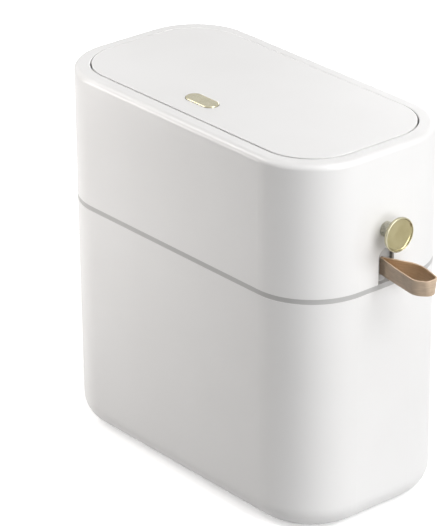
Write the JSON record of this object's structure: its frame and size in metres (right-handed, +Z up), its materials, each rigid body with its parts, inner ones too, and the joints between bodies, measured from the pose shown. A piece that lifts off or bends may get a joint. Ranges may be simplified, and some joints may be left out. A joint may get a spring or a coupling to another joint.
{
  "type": "trash can",
  "caption": "Slim press-lid kitchen bin with a rounded-rectangle body, lift-off upper housing, bag ring, push-button hinged lid, brass drawstring knob and leather pull strap",
  "frame": {"origin": "centre of the flat base, on the surface that the bin stands on", "axes": "+X along the length of the bin towards the end with the knob, +Y across the bin towards the lid hinge, +Z up"},
  "size_m": [0.3835, 0.1712, 0.3317],
  "materials": {
    "white_shell": "satin white moulded plastic",
    "grey_ring": "satin grey moulded plastic",
    "inner_plastic": "matt light grey moulded plastic",
    "strap_leather": "smooth tan leather with a paler cut edge",
    "gold_metal": "satin pale gold",
    "steel": "plain bright steel",
    "soft_pad": "matt rubber"
  },
  "bodies": {
    "bucket": {"bucket": "white_shell"},
    "bag_ring": {"bag_ring": "grey_ring", "strap_loop": "strap_leather", "strap_backplate": "steel", "strap_rivets": "steel"},
    "upper_housing": {"upper_housing": "white_shell", "mouth_frame": "inner_plastic", "frame_screws": "steel", "hinge_pin_left": "steel", "hinge_pin_right": "steel", "latch_strike": "steel", "lid_bumpers": "soft_pad", "drawstring_knob": "gold_metal", "knob_screw": "steel"},
    "lid": {"lid_panel": "white_shell", "lid_liner": "inner_plastic", "liner_screws": "steel", "latch_cover": "inner_plastic", "cover_screws": "steel", "lid_spring_left": "steel", "lid_spring_right": "steel", "button_spring_left": "steel", "button_spring_right": "steel", "latch_spring": "steel"},
    "push_button": {"push_button": "gold_metal"},
    "latch": {"latch_slider": "inner_plastic"}
  },
  "joints": [
    {"name": "ring_lift", "type": "slide", "parent": "bucket", "child": "bag_ring", "axis": [0, 0, 1], "range_m": [0, 0.06]},
    {"name": "housing_lift", "type": "slide", "parent": "bag_ring", "child": "upper_housing", "axis": [0, 0, 1], "range_m": [0, 0.06]},
    {"name": "lid_hinge", "type": "hinge", "parent": "upper_housing", "child": "lid", "pos_m": [0, 0.0317, 0.3252], "axis": [-1, 0, 0], "range_deg": [0, 75]},
    {"name": "button_press", "type": "slide", "parent": "lid", "child": "push_button", "axis": [0, 0, -1], "range_m": [0, 0.0025], "stiffness_N_per_m": 400, "springref_m": -0.001, "deforming": ["button_spring_left", "button_spring_right"]},
    {"name": "latch_slide", "type": "slide", "parent": "lid", "child": "latch", "axis": [0, 1, 0], "range_m": [0, 0.0025], "deforming": ["latch_spring"]}
  ],
  "couplings": [
    {"joint": "latch_slide", "follows": "button_press", "ratio": 1}
  ]
}
